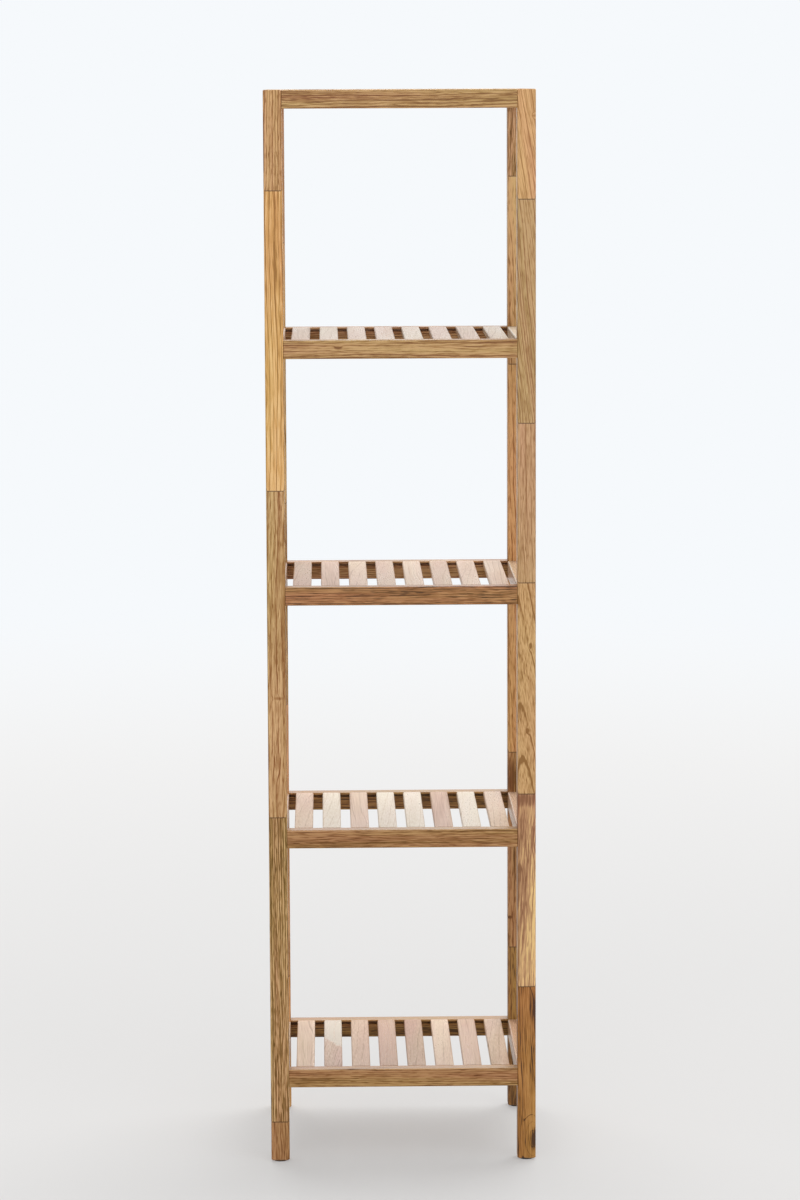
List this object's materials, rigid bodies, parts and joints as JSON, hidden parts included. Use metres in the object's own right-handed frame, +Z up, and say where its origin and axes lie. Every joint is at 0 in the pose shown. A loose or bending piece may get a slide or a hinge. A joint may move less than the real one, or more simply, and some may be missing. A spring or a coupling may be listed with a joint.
{
  "type": "bathroom shelf unit",
  "caption": "Tall free-standing bathroom shelf unit in solid hardwood: square posts, slatted open shelves between grooved rails, open frame at the top.",
  "frame": {"origin": "on the floor, under the middle of the unit", "axes": "+X to the right seen from the front, +Y to the rear, +Z up"},
  "size_m": [0.348, 0.3, 1.4],
  "materials": {
    "posts": "satin oiled",
    "rails": "satin oiled",
    "slats": "satin oiled",
    "pads": "matt"
  },
  "bodies": {
    "root": {"front_left_post": "posts", "front_right_post": "posts", "rear_left_post": "posts", "rear_right_post": "posts", "shelf_1_front_rail": "rails", "shelf_1_rear_rail": "rails", "shelf_1_left_rail": "rails", "shelf_1_right_rail": "rails", "shelf_2_front_rail": "rails", "shelf_2_rear_rail": "rails", "shelf_2_left_rail": "rails", "shelf_2_right_rail": "rails", "shelf_3_front_rail": "rails", "shelf_3_rear_rail": "rails", "shelf_3_left_rail": "rails", "shelf_3_right_rail": "rails", "shelf_4_front_rail": "rails", "shelf_4_rear_rail": "rails", "shelf_4_left_rail": "rails", "shelf_4_right_rail": "rails", "top_front_rail": "rails", "top_rear_rail": "rails", "top_left_rail": "rails", "top_right_rail": "rails", "shelf_1_slat_1": "slats", "shelf_1_slat_2": "slats", "shelf_1_slat_3": "slats", "shelf_1_slat_4": "slats", "shelf_1_slat_5": "slats", "shelf_1_slat_6": "slats", "shelf_1_slat_7": "slats", "shelf_1_slat_8": "slats", "shelf_2_slat_1": "slats", "shelf_2_slat_2": "slats", "shelf_2_slat_3": "slats", "shelf_2_slat_4": "slats", "shelf_2_slat_5": "slats", "shelf_2_slat_6": "slats", "shelf_2_slat_7": "slats", "shelf_2_slat_8": "slats", "shelf_3_slat_1": "slats", "shelf_3_slat_2": "slats", "shelf_3_slat_3": "slats", "shelf_3_slat_4": "slats", "shelf_3_slat_5": "slats", "shelf_3_slat_6": "slats", "shelf_3_slat_7": "slats", "shelf_3_slat_8": "slats", "shelf_4_slat_1": "slats", "shelf_4_slat_2": "slats", "shelf_4_slat_3": "slats", "shelf_4_slat_4": "slats", "shelf_4_slat_5": "slats", "shelf_4_slat_6": "slats", "shelf_4_slat_7": "slats", "shelf_4_slat_8": "slats", "foot_pads": "pads"}
  },
  "joints": []
}
